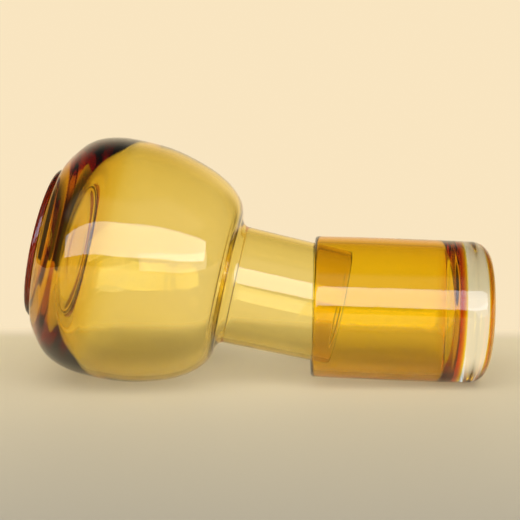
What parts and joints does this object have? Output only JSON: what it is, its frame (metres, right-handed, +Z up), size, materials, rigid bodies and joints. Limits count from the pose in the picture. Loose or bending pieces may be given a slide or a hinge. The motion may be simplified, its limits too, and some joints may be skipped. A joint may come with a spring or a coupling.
{
  "type": "bedside water carafe with tumbler",
  "caption": "Blown amber glass bedside carafe lying on its side, with a matching thick-based tumbler slipped over its neck as a cap that pulls off to drink from.",
  "frame": {"origin": "on the table under the middle of the lying set", "axes": "+Z up, +X along the set from the carafe's foot to the tumbler's base, both glasses' axes in the plane Y = 0"},
  "size_m": [0.2292, 0.1198, 0.1213],
  "materials": {
    "amber_glass_carafe": "clear amber, fire-polished",
    "amber_glass_tumbler": "clear amber, fire-polished",
    "clear_glass_base": "clear, fire-polished"
  },
  "bodies": {
    "carafe": {"carafe": "amber_glass_carafe"},
    "tumbler": {"tumbler_cup": "amber_glass_tumbler", "tumbler_base": "clear_glass_base"}
  },
  "joints": [
    {"name": "tumbler_pull_off", "type": "slide", "parent": "carafe", "child": "tumbler", "axis": [1, 0, 0], "range_m": [0, 0.05]}
  ]
}
